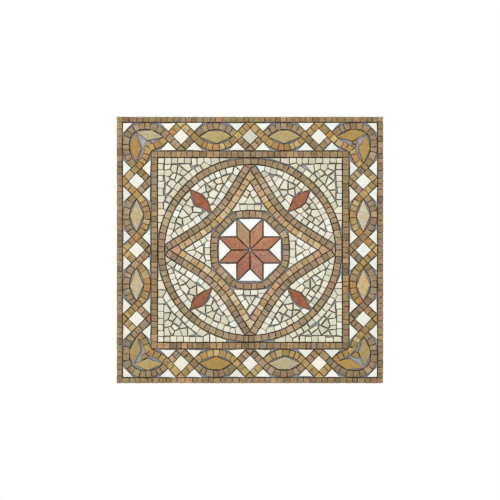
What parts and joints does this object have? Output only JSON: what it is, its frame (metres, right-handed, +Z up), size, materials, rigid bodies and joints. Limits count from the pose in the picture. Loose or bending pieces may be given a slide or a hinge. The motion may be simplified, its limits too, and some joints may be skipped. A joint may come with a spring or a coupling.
{
  "type": "stone mosaic panel",
  "caption": "Square wall or floor panel of hand-cut marble and travertine stones on a net: a four-pointed star in a circle inside a braided border.",
  "frame": {"origin": "centre of the panel's flat back face", "axes": "+Z up the panel, +X to the right seen from the front, +Y out of the back into the wall; the stones face -Y"},
  "size_m": [0.66, 0.0102, 0.66],
  "materials": {
    "net": "woven glass-fibre net in set adhesive",
    "white_marble": "tumbled white marble",
    "cream_marble": "tumbled cream marble",
    "brown_travertine": "tumbled walnut travertine",
    "ochre_travertine": "tumbled gold travertine",
    "honey_marble": "honed honey marble",
    "red_marble": "honed red marble"
  },
  "bodies": {
    "root": {"mesh_backing": "net", "border_wedges": "white_marble", "cream_ground": "cream_marble", "outer_frame": "brown_travertine", "inner_frame": "brown_travertine", "circle_band": "brown_travertine", "star_outer_band": "brown_travertine", "star_inner_band": "ochre_travertine", "ring_band": "brown_travertine", "strand_ochre": "ochre_travertine", "strand_brown": "brown_travertine", "white_square_top_1": "white_marble", "white_square_top_2": "white_marble", "white_square_top_3": "white_marble", "almond_top_1": "honey_marble", "almond_top_2": "honey_marble", "almond_top_corner_left": "honey_marble", "almond_top_corner_right": "honey_marble", "field_lozenge_1": "red_marble", "white_square_right_1": "white_marble", "white_square_right_2": "white_marble", "white_square_right_3": "white_marble", "almond_right_1": "honey_marble", "almond_right_2": "honey_marble", "almond_right_corner_left": "honey_marble", "almond_right_corner_right": "honey_marble", "field_lozenge_2": "red_marble", "white_square_bottom_1": "white_marble", "white_square_bottom_2": "white_marble", "white_square_bottom_3": "white_marble", "almond_bottom_1": "honey_marble", "almond_bottom_2": "honey_marble", "almond_bottom_corner_left": "honey_marble", "almond_bottom_corner_right": "honey_marble", "field_lozenge_3": "red_marble", "white_square_left_1": "white_marble", "white_square_left_2": "white_marble", "white_square_left_3": "white_marble", "almond_left_1": "honey_marble", "almond_left_2": "honey_marble", "almond_left_corner_left": "honey_marble", "almond_left_corner_right": "honey_marble", "field_lozenge_4": "red_marble", "star_lozenge_1": "red_marble", "star_triangle_1": "white_marble", "star_lozenge_2": "red_marble", "star_triangle_2": "white_marble", "star_lozenge_3": "red_marble", "star_triangle_3": "white_marble", "star_lozenge_4": "red_marble", "star_triangle_4": "white_marble", "star_lozenge_5": "red_marble", "star_triangle_5": "white_marble", "star_lozenge_6": "red_marble", "star_triangle_6": "white_marble", "star_lozenge_7": "red_marble", "star_triangle_7": "white_marble", "star_lozenge_8": "red_marble", "star_triangle_8": "white_marble"}
  },
  "joints": []
}
